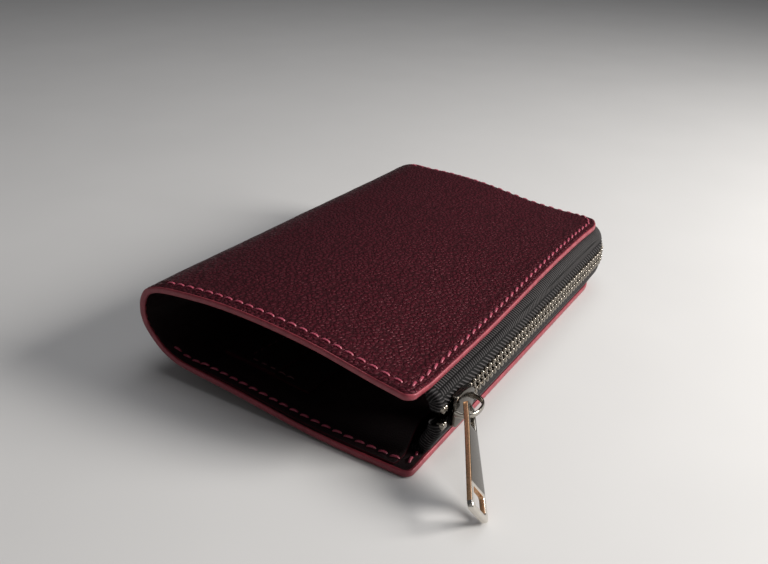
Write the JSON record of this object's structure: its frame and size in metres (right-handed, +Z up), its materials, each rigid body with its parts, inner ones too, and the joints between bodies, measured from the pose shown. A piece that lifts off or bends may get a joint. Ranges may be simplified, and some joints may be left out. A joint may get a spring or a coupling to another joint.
{
  "type": "zip wallet",
  "caption": "Compact folded leather wallet, hand-stitched round its edges, closed by a zip along one long side and one short side, with a metal slider and tapered puller.",
  "frame": {"origin": "middle of the footprint, on the surface the wallet lies on, puller included", "axes": "+Z up through the covers, +Y along the long side away from the open short side, +X from the spine towards the long zip side"},
  "size_m": [0.0966, 0.1294, 0.0273],
  "materials": {
    "outer_leather": "pebbled full-grain leather, dark burgundy, satin, with glossy painted edges",
    "lining_leather": "smooth burgundy lining leather, satin",
    "thread": "waxed twisted thread, burgundy pink",
    "zip_tape": "black herringbone woven tape",
    "zip_teeth": "polished nickel teeth",
    "zip_metal": "polished nickel slider and puller"
  },
  "bodies": {
    "back": {"outer_shell_back": "outer_leather", "lining_back": "lining_leather", "slip_pocket_back": "lining_leather", "card_slot_back_1": "lining_leather", "card_slot_back_2": "lining_leather", "zip_tape_lower": "zip_tape", "zip_teeth_lower": "zip_teeth", "top_stop_lower": "zip_metal", "bottom_stop": "zip_metal", "seam_thread_back": "thread"},
    "front": {"outer_shell_front": "outer_leather", "lining_front": "lining_leather", "slip_pocket_front": "lining_leather", "card_slot_front_1": "lining_leather", "card_slot_front_2": "lining_leather", "card_slot_front_3": "lining_leather", "zip_tape_upper": "zip_tape", "zip_teeth_upper": "zip_teeth", "top_stop_upper": "zip_metal", "seam_thread_front": "thread"},
    "slider": {"slider_body": "zip_metal", "slider_crown": "zip_metal"},
    "puller": {"puller": "zip_metal"}
  },
  "joints": [
    {"name": "cover_open", "type": "hinge", "parent": "back", "child": "front", "pos_m": [-0.04831, 0.00184, 0.016], "axis": [0, -1, 0], "range_deg": [0, 180]},
    {"name": "slider_travel", "type": "slide", "parent": "back", "child": "slider", "axis": [0, 1, 0], "range_m": [0, 0.084]},
    {"name": "puller_swing", "type": "hinge", "parent": "slider", "child": "puller", "pos_m": [0.03485, -0.04366, 0.01288], "axis": [0, 0, 1], "range_deg": [-20, 115]}
  ]
}
